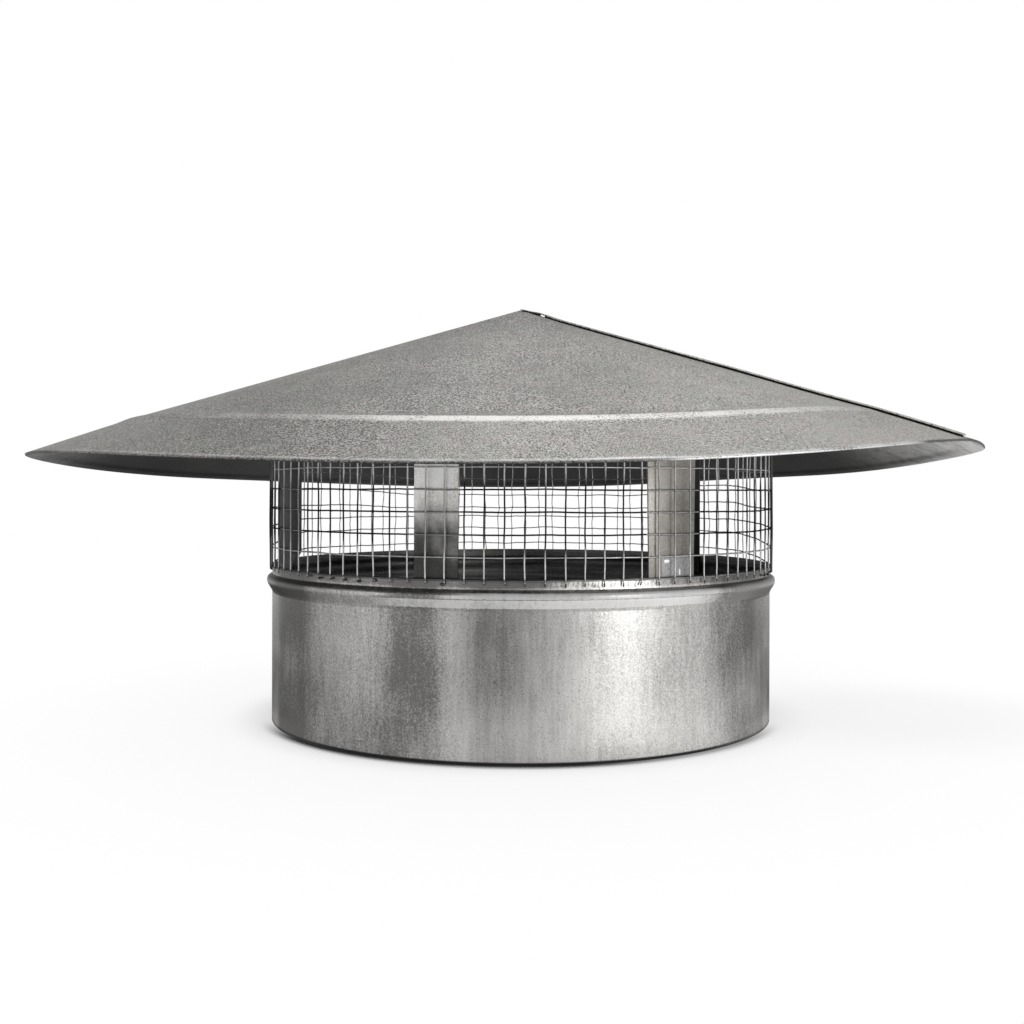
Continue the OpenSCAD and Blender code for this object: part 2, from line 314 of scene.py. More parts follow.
def rolled_hat():
    """The hat's sheet: cone, ridge, brim and folded hem, upper and lower skin."""
    ridge = [RIDGE_R + RIDGE_W * (i / 16 - 0.5) for i in range(17)]
    cone = [ridge[0] * i / 33 for i in range(33)]
    brim = [ridge[-1] + (HAT_R - 6 - ridge[-1]) * i / 7 for i in range(1, 8)]
    brim += [HAT_R - 4.5, HAT_R - 3, HAT_R - 1.5]
    radii = cone + ridge + brim
    top = [(r, APEX_Z - sheet_fall(r)) for r in radii]
    rim_top, fold = APEX_Z - sheet_fall(HAT_R), HEM_DROP / 2
    nose = [(HAT_R + fold * cosine(a), rim_top - fold + fold * sine(a)) for a in range(90, -91, -30)]
    hem = [(HAT_R - HEM_W * i / 3, rim_top - HEM_DROP + BRIM_FALL * HEM_W * i / 3) for i in (1, 2, 3)]
    lip_r = HAT_R - HEM_W - HEM_LIP
    lip = [(lip_r, APEX_Z - sheet_fall(lip_r) - HAT_DROP)]
    under = [(r, z - HAT_DROP) for r, z in reversed(top) if r < lip_r - 1]
    hat = lathe("hat_sheet", top + nose + hem + lip + under, 360)

    def lie(co):
        p = co / MM
        r, q = math.hypot(p.x, p.y), bearing(p.x, p.y)
        reach = rim_reach(q) / HAT_R
        rise = r / HAT_R * rim_wave(q) + ridge_lift(r, q) - seam_sag(r, q)
        dent = SHEET_DENT * noise.noise(Vector((p.x / DENT_SPAN, p.y / DENT_SPAN, 3.1))) * min(1.0, r / 60)
        return (p.x * reach, p.y * reach, p.z + rise + dent)

    return bend(hat, lie)


def ridge_highlight_and_burnish(r, q, below):
    """Where the swaging tool has burnished the ridge's outer flank, with a painted highlight over it, mostly in
    front.
    """
    band = step(r, 336.0, 337.8) * (1 - step(r, 343.0, 345.6))
    front = (0.55 * step(q, -46, -34) + 0.45 * step(q, -31, -13)) * (1 - step(q, 45, 52))
    return band * max(front, 0.45 * step(abs(q), 60, 75))


def painted_hem_highlight(r, q, below):
    """Painted highlight along the rim's upper edge; on the right it covers the whole fold."""
    right = step(q, 9, 16)
    line = step(r, HAT_R - 4.8 + 2.3 * right, HAT_R - 3.0 + 2.7 * right)
    line *= 1 - (1 - right) * step(r, HAT_R - 1.6, HAT_R)
    return line * (0.45 + 0.55 * step(q, 2, 10)) * (1 - step(q, 39, 43)) * step(q, -56, -40)


def hem_shade(r, q, below):
    """Painted shade where the rim's fold turns under."""
    turned = 0.75 * min(1.0, max(0.0, below / HEM_DROP)) * step(r, HAT_R - 1, HAT_R)
    return (0.2 * step(r, HAT_R - 1.6, HAT_R) + turned) * (1 - step(q, 9, 16))


def darkened_hem_edge(r, q, below):
    """Where the rim's fold is dark: at the end of the seam and at the left tip."""
    edge = step(r, HAT_R - 1.6, HAT_R)
    right = max(step(r, HAT_R - 3, HAT_R - 1) * step(q, 51, 55), 0.8 * edge * step(q, 41, 44))
    return max(right * (1 - step(q, 95, 105)), 0.7 * edge * step(-q, 48, 54) * (1 - step(-q, 70, 80)))


def pale_underside(r, q, below):
    """Where the brim's underside is painted lighter for the light that reaches in under its tips."""
    return max(step(q, 56, 66) * (1 - step(q, 98, 118)), 0.3 * step(-q, 62, 76) * (1 - step(-q, 84, 100)))


def seam_strip(name, section, r_from, r_to, stations, lift):
    """A folded strip along the seam: section points are (across, above the sheet)."""
    strip = bar(name, section, stations)

    def place(co):
        r = r_from + (r_to - r_from) * co.z / (stations - 1)
        above = co.y * min(1.0, 0.25 + r / 30)
        return hat_point(r, SEAM_AT, above + lift(r, co.x)) + across(SEAM_AT) * co.x

    return bend(strip, place)


def lock_seam():
    """The radial lock seam: a folded strip over a narrower web, with an open slot on the front side."""
    half, top, slot = SEAM_W / 2, SEAM_RISE, SEAM_SLOT
    fold = [(-half + 0.25, slot), (-half, slot + 0.3), (-half, top - 0.5), (-half + 0.5, top - 0.1),
            (-half + 1.2, top), (half - 1.0, top), (half - 0.4, top - 0.2), (half, top - 0.8),
            (half, slot + 0.3), (half - 0.3, slot)]
    web = [(-half + 3.4, -0.3), (-half + 3.4, slot + 0.2), (half - 0.5, slot + 0.2), (half - 0.3, -0.3)]
    r_end = HAT_R - SEAM_END_GAP

    def spring(r, x):
        """The strip's front edge springs up a little here and there."""
        wave = 0.3 * noise.noise(Vector((r / 22, 0.3, 7.7))) + 0.5 * math.exp(-((r - 24) / 7) ** 2)
        return wave * (0.5 - x / SEAM_W)

    def flat(r, x):
        return 0.0

    strip = seam_strip("seam_fold", fold, 1.0, r_end, 120, spring)
    web_in = seam_strip("web_in", web, 2.0, SEAM_OPEN_FROM, 6, flat)
    web_out = seam_strip("web_out", web, SEAM_OPEN_TO, r_end - 1.5, 90, flat)
    return strip, joined([web_in, web_out], "seam_web")


def wall_point(z, depth):
    """Collar's wall: depth is measured inwards from the outer face, square to it."""
    mid = COLLAR_H - LIP_H - BEAD_H / 2 + BEAD_LIFT
    half = BEAD_H / 2 + (BEAD_LOW_FLANK if z < mid else BEAD_HIGH_FLANK)
    if abs(z - mid) >= half:
        share, lean = 0.0, 0.0
    else:
        up = abs(z - mid) / half
        if z < mid:
            share, lean = cosine(90 * up) ** 2, math.pi / 2 / half * sine(180 * up)
            share, lean = 0.55 * share + 0.45 * (1 - up), 0.55 * lean + 0.45 / half
        else:
            share, lean = cosine(90 * up ** 2.2) ** 2, -math.pi / 2 / half * 2.2 * up ** 1.2 * sine(180 * up ** 2.2)
    lean *= BEAD_OUT
    n = math.sqrt(1 + lean * lean)
    return (COLLAR_R + BEAD_OUT * share - depth / n, z + depth * lean / n)


def rolled_collar():
    """The collar's sheet with its bead and plain lip."""
    bead_low = COLLAR_H - LIP_H - BEAD_H
    levels = [0.4] + [bead_low * i / 8 for i in range(1, 8)]
    levels += [bead_low - 0.05] + [bead_low + BEAD_H * i / 26 for i in range(27)]
    levels += [COLLAR_H - LIP_H / 2, COLLAR_H - 0.4]
    outer = [wall_point(z, 0) for z in levels]
    inner = [wall_point(z, COLLAR_SHEET) for z in reversed(levels)]
    top = [(COLLAR_R - 0.2, COLLAR_H), (COLLAR_R - COLLAR_SHEET + 0.2, COLLAR_H)]
    foot = [(COLLAR_R - COLLAR_SHEET + 0.2, 0), (COLLAR_R - 0.2, 0)]
    return smooth(lathe("collar_sheet", outer + top + inner + foot, 288))


def eased_strap(name):
    """The strap's own solid with its edges eased as on cut strip."""
    strap = copy_of(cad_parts[name], name + "_strip")
    strap.parent = None
    for key in list(strap.keys()):
        del strap[key]
    select_only(strap)
    bpy.ops.object.mode_set(mode="EDIT")
    bpy.ops.mesh.select_all(action="SELECT")
    bpy.ops.mesh.remove_doubles(threshold=1e-6)
    bpy.ops.mesh.dissolve_limited(angle_limit=math.radians(0.6))
    face_outwards()
    ease = strap.modifiers.new("ease", "BEVEL")
    ease.width, ease.segments = STRAP_EASE * MM, 2
    ease.limit_method, ease.angle_limit = "ANGLE", math.radians(50)
    bpy.ops.object.modifier_apply(modifier=ease.name)
    return smooth(strap)


def back_sway(q, z):
    """How far the back of the screen stands higher: its hoops are bunched, and its lower edge has crept up."""
    low = BACK_CREEP * step(z, 131.5, 136) * (1 - step(z, 150, 190))
    middle = -BACK_BUNCH * step(z, 170, 200) * step(abs(q), 126, 150)
    right = BACK_RIGHT_LIFT * step(z, 170, 186) * step(q, 95, 118) * (1 - step(q, 126, 140))
    return (low + middle + right) * step(abs(q), 82, 112) * (1 - step(z, 215, 245))


def back_fineness(q):
    """The wires are drawn a little finer towards the back."""
    return 1 - BACK_FINER * step(abs(q), 95, 130)


def screen_play(q, z):
    """How far the screen's wires wander at angle q and height z: outwards, sideways and upwards."""
    # One unit of the noise is about 40 mm of the screen
    at = outward(q) * 5.5
    at.z = z / 38

    def wave(finer, away):
        return noise.noise(at * finer + Vector(away))

    loose = FRONT_PLAY + (1 - FRONT_PLAY) * (0.5 - 0.5 * cosine(q))
    out = OUT_PLAY * wave(1.0, (11, 0, 0))
    side = SIDE_PLAY * (wave(1.5, (0, 17, 0)) + 0.5 * wave(4.0, (5, 0, 0)))
    up = UP_PLAY * (wave(1.1, (0, 0, 23)) + 0.5 * wave(4.5, (0, 9, 0)))
    return out * loose, side * loose, up * loose + back_sway(q, z)


def screen_point(radius, q, z):
    """Point of the screen at a radius, direction and height, with the wires' wander added."""
    out, side, up = screen_play(q, z)
    p = outward(q) * (radius + out) + across(q) * side
    p.z = z + up
    return p


def hoop_heights():
    """Heights of all hoops, and of the upright wires' upper ends."""
    low = COLLAR_H - HOOP_DROP
    high = min(hat_top(UPRIGHT_R + SOLID_WIRE_R, a) for a in range(-180, 180, 5)) - HAT_DROP - SCREEN_GAP
    pitch = (high - UPRIGHT_ABOVE - low) / (HOOP_COUNT - 1)
    return [low + k * pitch for k in range(HOOP_COUNT)], high


def hoop_wire(k, z):
    """One level wire of the screen."""
    start_clean()
    bpy.ops.mesh.primitive_torus_add(major_segments=280, minor_segments=8, major_radius=HOOP_R,
                                     minor_radius=WIRE_R)
    hoop = named(bpy.context.object, "hoop_wire_%d" % k)

    def place(co):
        q = bearing(co.x, co.y)
        fine = back_fineness(q)
        return screen_point(HOOP_R + fine * (math.hypot(co.x, co.y) - HOOP_R), q, z) + Vector((0, 0, co.z * fine))

    return smooth(shift(hoop, place), 80)


def weld_drop(ball, q, z, size, sideways=0.0):
    """A drop of zinc on the screen at angle q and height z."""
    def place(co):
        p = screen_point(UPRIGHT_R - WIRE_R, q, z)
        return p + across(q) * (co.x * size + sideways) + outward(q) * co.y * size + Vector((0, 0, co.z * size * 0.9))

    return shift(copy_of(ball, "drop"), place)


def upright_wires(high, levels):
    """All upright wires with the zinc at their welds and cut ends, joined bay by bay."""
    stations = 26
    rod = bar("rod", [(WIRE_R * cosine(45 * i), WIRE_R * sine(45 * i)) for i in range(8)], stations)
    start_clean()
    bpy.ops.mesh.primitive_ico_sphere_add(subdivisions=1, radius=1)
    ball = named(bpy.context.object, "ball")
    starts = sorted(STRAP_AT.values())
    bays = {k: [] for k in range(1, 6)}
    for i in range(UPRIGHT_COUNT):
        q = (UPRIGHT_PHASE + i * 360 / UPRIGHT_COUNT + 180) % 360 - 180
        bay = sum(1 for s in starts if q >= s) or 5
        # At the left limb some wires stand aside, so that light shows between them
        q += step(-q, 80, 86) * (1 - step(-q, 91, 97))
        # Left of the middle the wires end higher, all ends are uneven, and some are curled
        low = COLLAR_H - LIP_H + UPRIGHT_BELOW + 1.6 * step(-q, -4, 4) + 0.5 * math.sin(i * 2.4)
        curl = 1.3 * math.sin(i * 5.1) if (i * 37) % 11 in (2, 7) else 0.0

        def place(co, q=q, curl=curl, low=low):
            z = low + (high - low) * (co.z / (stations - 1)) ** 1.15
            fine, hook = back_fineness(q), curl * max(0.0, 1 - (z - low) / 4) ** 2
            return screen_point(UPRIGHT_R, q, z) + across(q) * (co.x * fine + hook) + outward(q) * co.y * fine

        bays[bay].append(shift(copy_of(rod, "wire"), place))
        bays[bay] += [weld_drop(ball, q, z, WELD_DROP_R) for z in levels]
        if any(a < q < b for a, b in CLOTTED):
            bays[bay].append(weld_drop(ball, q, low + 0.4, CLOT_R, 0.5))
        if abs(q - BIG_CLOT_AT) < BIG_CLOT_REACH:
            bays[bay].append(weld_drop(ball, q, low + 0.3, BIG_CLOT_R, -1.8))
    bpy.data.objects.remove(rod)
    bpy.data.objects.remove(ball)
    return [smooth(joined(bays[k], "upright_wires_%d" % k), 80) for k in sorted(bays)]


# Finishes

class Signal:
    """A socket that carries a number, used in plain arithmetic."""

    def __init__(self, paint, socket):
        self.paint, self.socket = paint, socket

    def maths(self, operation, *terms):
        return self.paint.node("ShaderNodeMath", {"operation": operation}, dict(enumerate(terms)))

    def __add__(self, other):
        return self.maths("ADD", self, other)

    def __sub__(self, other):
        return self.maths("SUBTRACT", self, other)

    def __rsub__(self, other):
        return self.maths("SUBTRACT", other, self)

    def __mul__(self, other):
        return self.maths("MULTIPLY", self, other)

    __radd__, __rmul__ = __add__, __mul__

    def size(self):
        return self.maths("ABSOLUTE", self)

    def between(self, low, high):
        """0 at low, 1 at high, and a smooth step between them."""
        return self.paint.node("ShaderNodeMapRange", {"interpolation_type": "SMOOTHSTEP"},
                               {"Value": self, "From Min": low, "From Max": high})

    def near(self, middle, reach, edge):
        """1 within reach of middle, falling to 0 over the edge."""
        return (self - middle).size().between(reach + edge, reach)

    def clamped(self):
        return self.paint.node("ShaderNodeClamp", {}, {"Value": self})


class Paint:
    """A node tree that is written as expressions."""

    def __init__(self, owner):
        owner.use_nodes = True
        self.owner, self.tree = owner, owner.node_tree
        self.tree.nodes.clear()

    def node(self, kind, settings, inputs, take=0):
        made = self.tree.nodes.new(kind)
        for key, value in settings.items():
            setattr(made, key, value)
        for key, value in inputs.items():
            if isinstance(value, Signal):
                self.tree.links.new(value.socket, made.inputs[key])
            else:
                made.inputs[key].default_value = value
        return Signal(self, made.outputs[take]) if made.outputs else None

    def place(self, squeeze=(1, 1, 1)):
        """Object coordinates, squeezed along some axes so that a pattern is drawn out along them."""
        spot = self.node("ShaderNodeTexCoord", {}, {}, "Object")
        return self.node("ShaderNodeVectorMath", {"operation": "MULTIPLY"}, {0: spot, 1: squeeze})

    def axis(self, name):
        return self.node("ShaderNodeSeparateXYZ", {}, {0: self.place()}, name)

    def bearing(self):
        """Direction from the front in degrees."""
        return self.axis("X").maths("ARCTAN2", self.axis("X"), self.axis("Y") * -1) * math.degrees(1)

    def mark(self, name):
        return self.node("ShaderNodeAttribute", {"attribute_name": name}, {}, "Fac")

    def noise(self, scale, detail=3.0, rough=0.5, squeeze=(1, 1, 1)):
        """Noise centred on 0."""
        inputs = {"Vector": self.place(squeeze), "Scale": scale, "Detail": detail, "Roughness": rough}
        return self.node("ShaderNodeTexNoise", {}, inputs) - 0.5

    def spot(self, centre, reach, edge):
        """1 within reach of a point, in metres."""
        away = self.node("ShaderNodeVectorMath", {"operation": "DISTANCE"}, {0: self.place(), 1: centre}, "Value")
        return away.between(reach + edge, reach)

    def mix(self, share, a, b):
        return self.node("ShaderNodeMix", {"data_type": "RGBA"}, {0: share, 6: a, 7: b}, 2)

    def metal(self, colour, roughness, metallic, bump_from, bump_depth):
        """Ends the tree in a metal whose bump is bump_depth metres deep."""
        bump = self.node("ShaderNodeBump", {}, {"Strength": 1.0, "Distance": bump_depth, "Height": bump_from})
        shader = self.node("ShaderNodeBsdfPrincipled", {}, {
            "Base Color": colour, "Roughness": roughness, "Metallic": metallic, "Normal": bump})
        self.node("ShaderNodeOutputMaterial", {}, {"Surface": shader})
        return self.owner


def grey(value, warm=0.0):
    """A near-neutral tone, a little warm or cool."""
    return (value * (1 + warm), value, value * (1 - 1.6 * warm), 1.0)


def new_paint(name):
    return Paint(bpy.data.materials.new(name))


def hat_finish():
    """Matt galvanised sheet with a fine grain, cloudy where it has been handled."""
    paint = new_paint("galvanised_hat")
    grain, fine = paint.noise(700, 2.0, 0.65), paint.noise(1500, 1.0, 0.5)
    cloud, patch = paint.noise(9, 3.0, 0.55), paint.noise(42, 3.0, 0.6)
    peak = paint.spot(Vector((0, 0, APEX_Z)) * MM, 0.02, 0.12)
    side, brim = paint.axis("X"), paint.axis("Z").between(0.256, 0.246)
    coarse = 3.0 + 3.0 * paint.noise(14, 2.0, 0.5).between(-0.08, 0.10)
    coarse = coarse * (1 - 0.42 * brim * side.between(-0.16, 0.0))
    share = 0.5 + coarse * grain + 3.0 * fine + 0.35 * cloud + 0.4 * patch - 0.27 * peak
    # Painted light and shade: lighter towards both sides, most towards the right, and darker in two broad bands
    share = share + 0.33 * side.between(0.02, 0.28) + 0.08 * side.between(-0.2, -0.3)
    share = share - 0.08 * side.near(-0.01, 0.05, 0.08) * (1 - brim) - 0.10 * side.near(-0.13, 0.04, 0.08)
    tint = paint.noise(60, 2.0, 0.6)
    light = paint.mix((0.5 + 3 * tint).clamped(), (0.735, 0.74, 0.69, 1.0), (0.765, 0.72, 0.695, 1.0))
    colour = paint.mix(share.clamped(), grey(0.10, 0.012), light)
    # A painted highlight on the ridge, where it is also burnished
    highlight_and_burnish = paint.mark("ridge") * (0.85 + 2.5 * grain + 1.6 * patch).clamped()
    colour = paint.mix(highlight_and_burnish, colour, grey(0.88, 0.02))
    # A painted highlight along the rim's upper edge
    hem_highlight = paint.mark("hem") * (0.8 + 2.5 * patch + 2 * grain).clamped()
    colour = paint.mix(hem_highlight, colour, grey(0.95))
    # Painted shade where the rim's fold turns under
    colour = paint.mix(paint.mark("fold"), colour, grey(0.02))
    # The rim's fold darkened at the seam's end and at the left tip
    colour = paint.mix(paint.mark("dark_edge") * 0.9, colour, grey(0.03))
    # A dark speck on the brim, with a painted glint beside it
    speck = hat_point(387.5, 23.2, 0) * MM
    colour = paint.mix(paint.spot(speck, 0.0009, 0.0006), colour, grey(0.01))
    colour = paint.mix(paint.spot(speck + Vector((0.0031, 0.0004, 0)), 0.0007, 0.0006), colour, grey(0.98))
    rough = 0.44 + 0.3 * cloud + 0.25 * grain - 0.06 * highlight_and_burnish
    return paint.metal(colour, rough, 0.9, grain + 0.5 * fine, 0.00022)


def underside_finish():
    """The same sheet seen from below, dull, and painted darker for the shade under the hat."""
    paint = new_paint("galvanised_underside")
    grain, cloud = paint.noise(480, 2.0, 0.6), paint.noise(14, 3.0, 0.6)
    side = paint.axis("X")
    # Painted light and shade: lighter and darker from side to side
    share = 0.35 + 0.7 * grain + 1.3 * cloud + 0.5 * side.between(-0.38, -0.24) - 0.3 * side.between(-0.12, 0.0)
    share = share - 0.3 * side.between(-0.33, -0.385) - 0.1 * side.between(0.22, 0.30)
    colour = paint.mix(share.clamped(), grey(0.14, 0.01), grey(0.46, 0.01))
    # Painted light under the brim's tips, in blotches
    pale, blotch = paint.mark("pale"), paint.noise(70, 3.0, 0.6)
    colour = paint.mix(pale * (0.8 + 2.6 * blotch).clamped(), colour, grey(0.93, 0.02))
    return paint.metal(colour, 0.5 + 0.3 * cloud - 0.22 * pale, 0.85, grain, 0.0001)


def seam_slot_shade_finish():
    """Painted shade in the seam's open slot, near black and rough."""
    paint = new_paint("seam_slot_shade")
    grain = paint.noise(300, 2.0, 0.6)
    colour = paint.mix((0.5 + 2 * grain).clamped(), grey(0.012), grey(0.03))
    return paint.metal(colour, 0.9 + 0.1 * grain, 0.0, grain, 0.0001)


def collar_finish():
    """Galvanised sheet with upright bands of painted reflection, partly left by the rolls, streaks, dark specks,
    painted light and shade on the bead and a painted contact shadow at its foot.
    """
    paint = new_paint("galvanised_collar")
    grain, speck = paint.noise(800, 2.0, 0.65), paint.noise(450, 2.0, 0.6, (1, 1, 0.6))
    streak, cloud = paint.noise(260, 3.0, 0.6, (1, 1, 0.1)), paint.noise(17, 3.0, 0.6)
    # q strays from the true direction, so that the bands have uneven edges
    q = paint.bearing() + 7 * paint.noise(13, 2.0, 0.5, (1, 1, 0.35))
    height, true_q = paint.axis("Z"), paint.bearing()
    # Painted reflections: lighter low down in front, where the floor shows, and lighter along both limbs
    low = height.between(0.065, 0.018) * (0.25 + 0.75 * true_q.between(-42, -18))
    upper, sides = height.between(0.062, 0.100), true_q.size().between(46, 58)
    # Painted reflections in upright bands, dark and light, the brightest a painted highlight
    dark = sum(weight * q.near(*band) for weight, *band in DARK_REFLECTION_BANDS) * (1 - 0.75 * low)
    light = sum(weight * q.near(*band) for weight, *band in LIGHT_REFLECTION_BANDS)
    light = light + (1.3 - 1.25 * upper) * q.size().near(73, 5, 3) + 0.55 * low * q.between(-25, 35)
    specks = ((grain + 0.5 * speck) * q.near(0, 9, 10)).between(0.05, 0.16)
    share = 0.5 + 1.5 * grain + 0.4 * speck + 0.6 * streak + 0.7 * cloud - 0.36 * dark + 0.35 * light - 0.4 * specks
    # Painted light and shade in broad patches, low down and at the sides
    share = share - 0.16 * q.near(-35, 15, 12) + 0.12 * low * q.near(-8, 8, 8)
    share = share - 0.22 * height.between(0.07, 0.02) * q.between(-18, -36)
    share = share + sides * (0.28 * height.near(0.046, 0.014, 0.02) - 0.28 * upper)
    share = share - 0.4 * height.between(0.042, 0.022) * true_q.between(42, 52)
    # Height in millimetres, a little ragged. The bead's painted light: a painted reflection on the strip under its
    # crest, darker at the sides, a painted highlight on the crest, painted shade in its grooves, and the lip darker
    z = height * 1000 + 1.2 * speck
    plain_side = true_q.between(-33, -22) * true_q.between(50, 30)
    strip = z.between(115.2, 115.8) * z.between(122.3, 121.7) * (1.2 * plain_side - 0.2)
    crest = z.between(122.2, 123.0) * z.between(127.4, 126.4) * true_q.between(-16, -6) * plain_side
    groove = z.near(122.1, 0.15, 0.25) * plain_side + z.near(128.2, 1.0, 1.0) * (0.7 - 0.7 * plain_side)
    share = share + 0.55 * strip + 1.2 * crest - 0.6 * groove - 0.45 * z.between(129.6, 132.0)
    # A painted highlight on the lip, right of the front
    share = share + (0.5 + 2.5 * speck) * z.between(129.2, 129.8) * true_q.near(16.5, 8, 5)
    # The bead at the right end an even, less metallic mid grey, and darker at the left end
    bead_end = z.between(113, 115) * z.between(128.5, 127) * true_q.between(43, 54)
    share = share - 0.3 * z.near(123, 2, 2) * true_q.between(-46, -56)
    colour = paint.mix(share.clamped(), grey(0.20, 0.02), grey(0.80, 0.017))
    colour = paint.mix(bead_end * 0.8, colour, grey(0.5, 0.017))
    # The painted highlight and reflection on the bead, mottled, towards white
    highlight_mottle = (0.75 + 1.6 * speck + 1.8 * streak + 1.2 * cloud).clamped()
    colour = paint.mix(((crest + 0.5 * strip) * highlight_mottle).clamped(), colour, grey(1.0))
    # Painted contact shadow: the lowest few millimetres black and matt, less at the sides; the top edge dark as well
    foot = height.between(0.0030, 0.0016) * (1 - 0.5 * true_q.size().between(36, 62))
    edge = height.between(0.1361, 0.1366) * 0.8
    colour = paint.mix(foot.maths("MAXIMUM", foot, edge), colour, grey(0.004))
    rough = 0.38 + 0.3 * cloud + 0.25 * streak + 0.08 * dark
    metallic = (0.92 - 0.75 * crest - 0.6 * bead_end) * (1 - foot)
    return paint.metal(colour, rough + 0.4 * foot, metallic, grain + speck, 0.00008)


def collar_inside_finish():
    """The collar's inner face, dull, with level marks from the bead rolls."""
    paint = new_paint("galvanised_collar_inside")
    level, grain = paint.noise(160, 3.0, 0.6, (0.06, 0.06, 1)), paint.noise(500, 2.0, 0.6)
    share = 0.5 + 2.0 * level + 0.6 * grain
    colour = paint.mix(share.clamped(), grey(0.03, -0.04), grey(0.40, 0.01))
    return paint.metal(colour, 0.45 + 0.3 * level, 0.85, grain, 0.0001)


def strap_finish(name, foot, head, warm):
    """Galvanised strip, with its own painted light and shade: one tone at the foot, another at the top."""
    paint = new_paint("galvanised_" + name)
    grain, cloud = paint.noise(600, 2.0, 0.6), paint.noise(34, 3.0, 0.6)
    height = (paint.axis("Z") + 0.07 * cloud).between(0.146, 0.215)
    tone = paint.mix(height, grey(foot, warm), grey(head, warm))
    share = 0.7 + 1.6 * grain + 1.5 * cloud
    shaded = paint.mix(share.clamped(), grey(0.55), grey(1.0))
    colour = paint.node("ShaderNodeMix", {"data_type": "RGBA", "blend_type": "MULTIPLY"},
                        {0: 1.0, 6: tone, 7: shaded}, 2)
    # The weld at the front right strap's foot, with two painted glints
    if name == "strap_4":
        z, at = paint.axis("Z"), STRAP_AT[name]
        side = paint.axis("X") * cosine(at) + paint.axis("Y") * sine(at)
        weld = z.near(0.1445, 0.0065, 0.001) * side.near(0.004, 0.0125, 0.001)
        colour = paint.mix(weld * (0.7 + 2.5 * grain).clamped(), colour, grey(0.42, -0.02))
        glint = z.near(0.149, 0.0006, 0.0008) * side.near(-0.0046, 0.0018, 0.001)
        glint = glint + z.near(0.1405, 0.0018, 0.001) * side.near(0.0078, 0.0004, 0.0006)
        colour = paint.mix(glint.clamped(), colour, grey(1.0))
    return paint.metal(colour, 0.42 + 0.3 * cloud, 0.8, grain, 0.00012)


def wire_finish():
    """Galvanised drawn wire, with painted shade on its upper part and on both limbs in front, and dark at its cut
    lower ends.
    """
    paint = new_paint("galvanised_wire")
    dirt, grain = paint.noise(150, 2.0, 0.6), paint.noise(900, 1.0, 0.5)
    z, q = paint.axis("Z"), paint.bearing()
    level = z + 0.03 * paint.noise(22, 2.0, 0.5)
    # Painted shade: dark in the upper part and on both limbs in front, weaker in front of some straps
    painted_wire_shade = level.between(0.152, 0.166) * level.between(0.216, 0.203)
    painted_wire_shade = painted_wire_shade.maths("MAXIMUM", painted_wire_shade, q.size().between(66, 73) * 0.9) * paint.axis("Y").between(0.08, -0.02)
    painted_wire_shade = painted_wire_shade * (1 - sum(weight * q.near(at, reach, 0.5) for weight, at, reach in WEAKER_WIRE_SHADE))
    # Dark lower ends, and a darker lowest hoop
    tip = 1 - z.between(0.1335, 0.1350)
    tip = tip.maths("MAXIMUM", tip, z.near(0.1360, 0.0010, 0.0004) * (0.85 - 0.35 * q.between(-2, 12)))
    colour = paint.mix((0.5 + 1.6 * dirt).clamped(), grey(0.42), grey(0.85))
    colour = paint.mix(painted_wire_shade, colour, grey(0.02))
    colour = paint.mix(tip * 0.9, colour, grey(0.03))
    return paint.metal(colour, 0.42 + 0.25 * dirt, 0.9 - 0.1 * dirt, grain, 0.00003)


def dress(piece, finish, slot, *nodes):
    """Gives a piece its finish, fixes it to the body and hides the solids it stands for."""
    piece.data.materials.clear()
    piece.data.materials.append(finish)
    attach(piece, "root")
    if nodes:
        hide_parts(*nodes)
    return piece


def second_finish(piece, finish, wanted):
    """Gives another finish to the faces that are wanted."""
    piece.data.materials.append(finish)
    for face in piece.data.polygons:
        face.material_index = 1 if wanted(face) else 0


# Studio

def studio_camera():
    """The photograph's camera: level, in front of the object and a little above the screen."""
    data = bpy.data.cameras.new("camera")
    data.sensor_width, data.lens = SENSOR_MM, SENSOR_MM * FOCAL_PX / PHOTO_PX
    data.shift_x = (PHOTO_PX / 2 - CENTRE_X_PX) / PHOTO_PX
    data.shift_y = (CENTRE_Y_PX - PHOTO_PX / 2) / PHOTO_PX
    camera = bpy.data.objects.new("camera", data)
    camera.location = (0, -CAMERA_BACK, CAMERA_UP)
    camera.rotation_euler = (math.pi / 2, -CAMERA_ROLL, 0)
    bpy.context.scene.collection.objects.link(camera)
    bpy.context.scene.camera = camera


def softbox(name, place, aim, size, power):
    """A rectangular lamp that the camera itself doesn't see."""
    data = bpy.data.lights.new(name, "AREA")
    data.shape, data.size, data.size_y, data.energy = "RECTANGLE", size[0], size[1], power
    lamp = bpy.data.objects.new(name, data)
    lamp.location = place
    lamp.rotation_euler = (Vector(aim) - Vector(place)).to_track_quat("-Z", "Y").to_euler()
    lamp.visible_camera = False
    bpy.context.scene.collection.objects.link(lamp)


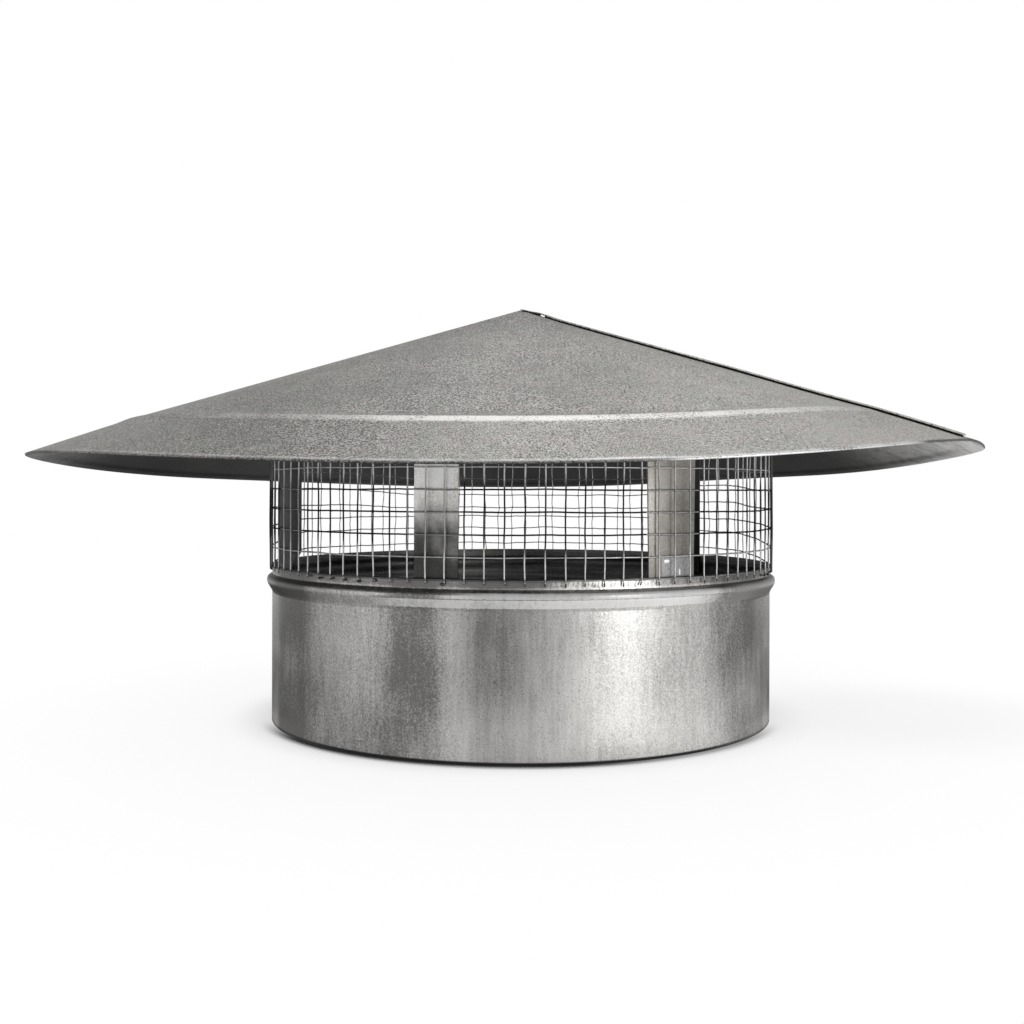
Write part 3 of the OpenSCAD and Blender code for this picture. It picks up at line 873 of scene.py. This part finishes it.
def studio_floor():
    """A pale floor that reads white and keeps a soft shadow round the foot of the object."""
    start_clean()
    bpy.ops.mesh.primitive_plane_add(size=40)
    floor = named(bpy.context.object, "floor")
    paint = new_paint("pale_floor")

    def shelter(reach):
        settings = {"samples": 8, "only_local": False}
        return paint.node("ShaderNodeAmbientOcclusion", settings, {"Distance": reach}, "AO")

    # For the camera: a dark line of contact in front, two soft shades round the foot and one at the right
    contact = paint.axis("Y").between(-0.05, -0.14) * (0.97 - 0.35 * paint.axis("X").between(0.03, 0.14))
    shade = 1 - contact * shelter(0.018).between(0.93, 0.60)
    near_depth = 0.14 + 0.12 * paint.axis("X").between(0.1, -0.2)
    shade = shade * (shelter(0.06).between(0.45, 0.95) * near_depth + (1 - near_depth))
    shade = shade * (shelter(0.30).between(0.3, 1.0) * 0.07 + 0.93)
    shade = shade * (1 - 0.06 * paint.spot((0.34, -0.02, 0), 0.06, 0.16))
    seen = paint.node("ShaderNodeEmission", {}, {"Color": paint.mix(shade, grey(0.0), grey(1.0)), "Strength": 1.0})
    # For reflections: dark near the object but for a band in front, pale farther off
    away = paint.node("ShaderNodeVectorMath", {"operation": "LENGTH"}, {0: paint.place()}, "Value")
    far = away.between(0.45, 1.4)
    front = away.between(0.19, 0.24) * paint.axis("Y").between(0.1, -0.2)
    front = front * (0.6 + 0.4 * paint.axis("X").between(-0.15, 0.3))
    mirrored = paint.node("ShaderNodeEmission", {}, {
        "Color": paint.mix(far.maths("MAXIMUM", far, front), grey(0.04), grey(0.95)), "Strength": 1.0})
    plain = paint.node("ShaderNodeBsdfDiffuse", {}, {"Color": grey(0.25)})
    ray = {name: paint.node("ShaderNodeLightPath", {}, {}, name) for name in
           ("Is Camera Ray", "Is Glossy Ray", "Is Transmission Ray")}
    other = paint.node("ShaderNodeMixShader", {}, {0: (ray["Is Glossy Ray"] + ray["Is Transmission Ray"]).clamped(),
                                                    1: plain, 2: mirrored})
    both = paint.node("ShaderNodeMixShader", {}, {0: ray["Is Camera Ray"], 1: other, 2: seen})
    paint.node("ShaderNodeOutputMaterial", {}, {"Surface": both})
    floor.data.materials.append(paint.owner)


def studio_world():
    """White behind the object for the camera, a soft grey for all other rays."""
    world = bpy.data.worlds.new("studio")
    bpy.context.scene.world = world
    paint = Paint(world)
    camera = paint.node("ShaderNodeLightPath", {}, {}, "Is Camera Ray")
    white = paint.node("ShaderNodeBackground", {}, {"Color": grey(1.0), "Strength": 1.0})
    soft = paint.node("ShaderNodeBackground", {}, {"Color": grey(1.0), "Strength": WORLD_GREY})
    paint.node("ShaderNodeOutputWorld", {}, {
        "Surface": paint.node("ShaderNodeMixShader", {}, {0: camera, 1: soft, 2: white})})


studio_camera()
studio_world()
studio_floor()
for name, (place, aim, size, power) in LAMPS.items():
    softbox(name, place, aim, size, power)

hat_skin, under_skin, wire_skin, slot_shade_skin = hat_finish(), underside_finish(), wire_finish(), seam_slot_shade_finish()

hat = smooth(rolled_hat(), 40)
for name, share in {"ridge": ridge_highlight_and_burnish, "hem": painted_hem_highlight, "fold": hem_shade, "dark_edge": darkened_hem_edge,
                    "pale": pale_underside}.items():
    mark(hat, name, share)
dress(hat, hat_skin, "hat_sheet", "hat")


def under_rim(face):
    r, _ = lie_of(face.center.x / MM, face.center.y / MM)
    return face.normal.z < 0.3 and r < HAT_R - 0.2


second_finish(hat, under_skin, under_rim)
fold, web = lock_seam()
dress(smooth(fold, 40), hat_skin, "hat_sheet")
# The seam strip's underside and the web take the painted shade of the slot
second_finish(fold, slot_shade_skin, lambda face: face.normal.z < -0.5)
dress(smooth(web, 40), slot_shade_skin, "hat_sheet")

collar = dress(rolled_collar(), collar_finish(), "collar_sheet", "collar")
second_finish(collar, collar_inside_finish(), lambda face: face.normal.dot(face.center.normalized()) < 0
              and abs(face.normal.z) < 0.9)

for name, tones in STRAP_LIGHT_AND_SHADE.items():
    dress(eased_strap(name), strap_finish(name, *tones), "strap_steel", name)

levels, high = hoop_heights()
for k, z in enumerate(levels, 1):
    dress(hoop_wire(k, z), wire_skin, "screen_wire", "hoop_%d" % k)
for k, wires in enumerate(upright_wires(high, levels), 1):
    dress(wires, wire_skin, "screen_wire", "uprights_%d" % k)

bpy.context.scene.view_settings.view_transform = "Standard"
bpy.context.view_layer.update()
